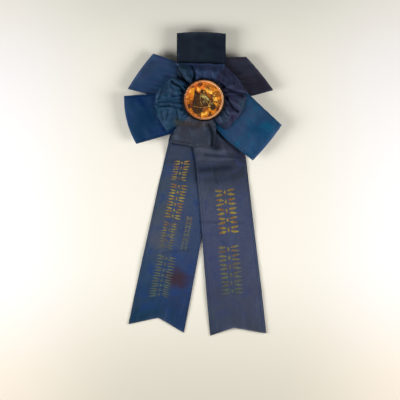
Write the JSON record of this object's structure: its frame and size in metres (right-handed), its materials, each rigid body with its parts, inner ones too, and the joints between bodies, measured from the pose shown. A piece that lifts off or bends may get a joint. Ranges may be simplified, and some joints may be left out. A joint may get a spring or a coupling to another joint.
{
  "type": "award ribbon",
  "caption": "Rosette award ribbon with satin loops round a domed horse-head button, two swallow-tailed streamers and a bar pin on the card back.",
  "frame": {"origin": "on the table under the middle of the ribbon's bounding box, with the ribbon lying on its back", "axes": "+Z out of the ribbon's face, +Y up the rosette, away from the streamers, +X to the right"},
  "size_m": [0.1146, 0.2203, 0.0215],
  "materials": {
    "satin_top_loop": "dark navy satin weave, soft sheen",
    "satin_plum_loop": "purplish charcoal satin weave, faded",
    "satin_teal_loop": "teal-blue satin weave, faded",
    "satin_blue_loops": "blue satin weave, mottled fading",
    "satin_inner_loops": "slate-blue satin weave, gathered",
    "satin_left_tail": "slate-blue satin weave, bluer at its end, stained",
    "satin_right_tail": "slate-navy satin weave",
    "stamped_foil": "hot-stamped foil, tarnished gold to olive",
    "thread": "cotton gathering thread",
    "lens": "clear celluloid, slightly yellowed, glossy",
    "rim": "dark brown japanned metal, worn at the edge",
    "picture_foil": "crinkled amber foil",
    "picture_print": "dark brown embossed print",
    "cup_metal": "drawn brass, dull",
    "card": "aged cream card",
    "pin_metal": "nickel plated, lightly tarnished",
    "staple_wire": "drawn steel wire"
  },
  "bodies": {
    "rosette": {"button_lens": "lens", "button_rim": "rim", "horse_head": "picture_print", "button_foil_disc": "picture_foil", "button_cup": "cup_metal", "prong_fastener": "cup_metal", "outer_loop_top": "satin_top_loop", "outer_loop_upper_right": "satin_plum_loop", "outer_loop_lower_right": "satin_teal_loop", "outer_loop_lower_left": "satin_blue_loops", "outer_loop_upper_left": "satin_blue_loops", "inner_loop_top": "satin_inner_loops", "inner_loop_upper_right": "satin_inner_loops", "inner_loop_right": "satin_inner_loops", "inner_loop_bottom": "satin_inner_loops", "inner_loop_lower_left": "satin_inner_loops", "inner_loop_upper_left": "satin_inner_loops", "outer_gather_thread": "thread", "inner_gather_thread": "thread", "base_card": "card", "back_card": "card", "tail_staple": "staple_wire", "left_tail_head": "satin_left_tail", "right_tail_head": "satin_right_tail", "pin_plate": "pin_metal", "pin_rivets": "pin_metal", "hinge_rivet": "pin_metal", "pin_catch": "pin_metal"},
    "left_tail": {"left_tail": "satin_left_tail", "left_tail_stamping": "stamped_foil"},
    "right_tail": {"right_tail": "satin_right_tail", "right_tail_stamping": "stamped_foil"},
    "pin_stem": {"pin_stem": "pin_metal"},
    "catch_roller": {"catch_roller": "pin_metal"}
  },
  "joints": [
    {"name": "left_tail_lift", "type": "hinge", "parent": "rosette", "child": "left_tail", "pos_m": [-0.0099, 0.0154, 0.00015], "axis": [-1, 0, 0], "range_deg": [0, 40]},
    {"name": "right_tail_lift", "type": "hinge", "parent": "left_tail", "child": "right_tail", "pos_m": [0.0133, 0.0154, 0.00065], "axis": [-1, 0, 0], "range_deg": [0, 45]},
    {"name": "pin_stem_swing", "type": "hinge", "parent": "rosette", "child": "pin_stem", "pos_m": [-0.0133, 0.0724, 0.002], "axis": [0, 1, 0], "range_deg": [0, 80]},
    {"name": "catch_roller_turn", "type": "hinge", "parent": "rosette", "child": "catch_roller", "pos_m": [0.0137, 0.0724, 0.002], "axis": [1, 0, 0], "range_deg": [0, 95]}
  ]
}
